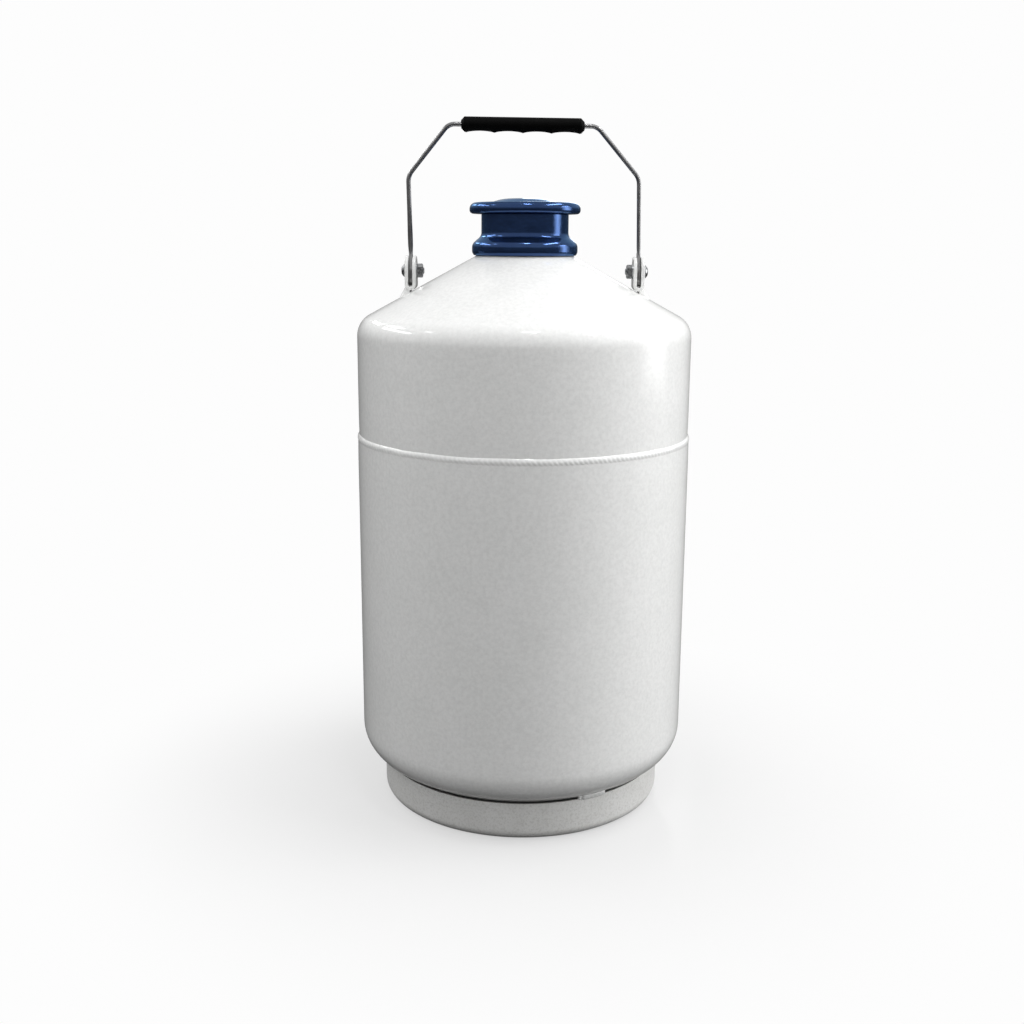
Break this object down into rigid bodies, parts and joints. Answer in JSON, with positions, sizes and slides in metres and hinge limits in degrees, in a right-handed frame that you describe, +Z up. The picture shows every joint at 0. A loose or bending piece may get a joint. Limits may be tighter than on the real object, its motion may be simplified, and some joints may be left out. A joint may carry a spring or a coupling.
{
  "type": "liquid nitrogen dewar",
  "caption": "White cylindrical liquid nitrogen dewar with a conical top, a blue lid and collar on the neck, a foot ring and a folding wire bail with a black grip.",
  "frame": {"origin": "centre of the foot ring's underside, on the surface that the dewar stands on", "axes": "+Z up along the vessel's axis; X through the two bail pivots; -Y is the front"},
  "size_m": [0.305, 0.305, 0.6213],
  "materials": {
    "white_enamel": "gloss",
    "bare_aluminium": "satin",
    "neck_laminate": "satin",
    "insulation_wrap": "satin",
    "molecular_sieve": "matte",
    "getter": "satin",
    "seal_rubber": "matte",
    "cap_plastic": "satin",
    "blue_moulding": "gloss",
    "plug_foam": "matte",
    "canister_steel": "satin",
    "stainless_wire": "polished",
    "zinc_plated": "polished",
    "black_grip": "satin"
  },
  "bodies": {
    "vessel": {"adsorbent": "molecular_sieve", "adsorbent_tray": "bare_aluminium", "bail_lug_left": "white_enamel", "bail_lug_right": "white_enamel", "canister_cup_1": "canister_steel", "canister_cup_2": "canister_steel", "canister_cup_3": "canister_steel", "canister_cup_4": "canister_steel", "canister_cup_5": "canister_steel", "canister_cup_6": "canister_steel", "canister_divider": "bare_aluminium", "canister_rod_1": "canister_steel", "canister_rod_2": "canister_steel", "canister_rod_3": "canister_steel", "canister_rod_4": "canister_steel", "canister_rod_5": "canister_steel", "canister_rod_6": "canister_steel", "collar_gasket": "seal_rubber", "foot_ring": "white_enamel", "foot_ring_welds": "white_enamel", "getter_capsule": "getter", "girth_weld": "white_enamel", "index_collar": "blue_moulding", "inner_girth_weld": "bare_aluminium", "inner_vessel_lower": "bare_aluminium", "inner_vessel_upper": "bare_aluminium", "insulation_cap": "insulation_wrap", "insulation_pad": "insulation_wrap", "insulation_wrap": "insulation_wrap", "lug_welds": "white_enamel", "neck_ring_lower": "bare_aluminium", "neck_ring_upper": "bare_aluminium", "neck_tube": "neck_laminate", "outer_shell_lower": "white_enamel", "outer_shell_upper": "white_enamel", "pivot_bolts": "zinc_plated", "pivot_nuts": "zinc_plated", "pivot_washers": "zinc_plated", "vacuum_port_body": "bare_aluminium", "vacuum_port_cap": "cap_plastic", "vacuum_port_plug": "bare_aluminium", "vacuum_port_seal": "seal_rubber"},
    "lid": {"lid_cap": "blue_moulding", "plug_retainer": "blue_moulding", "foam_plug": "plug_foam"},
    "bail": {"bail_rod": "stainless_wire", "bail_grip": "black_grip"}
  },
  "joints": [
    {"name": "bail_fold", "type": "hinge", "parent": "vessel", "child": "bail", "pos_m": [0, 0, 0.4895], "axis": [1, 0, 0], "range_deg": [-100, 100]},
    {"name": "lid_lift", "type": "slide", "parent": "vessel", "child": "lid", "axis": [0, 0, 1], "range_m": [0, 0.052]}
  ]
}
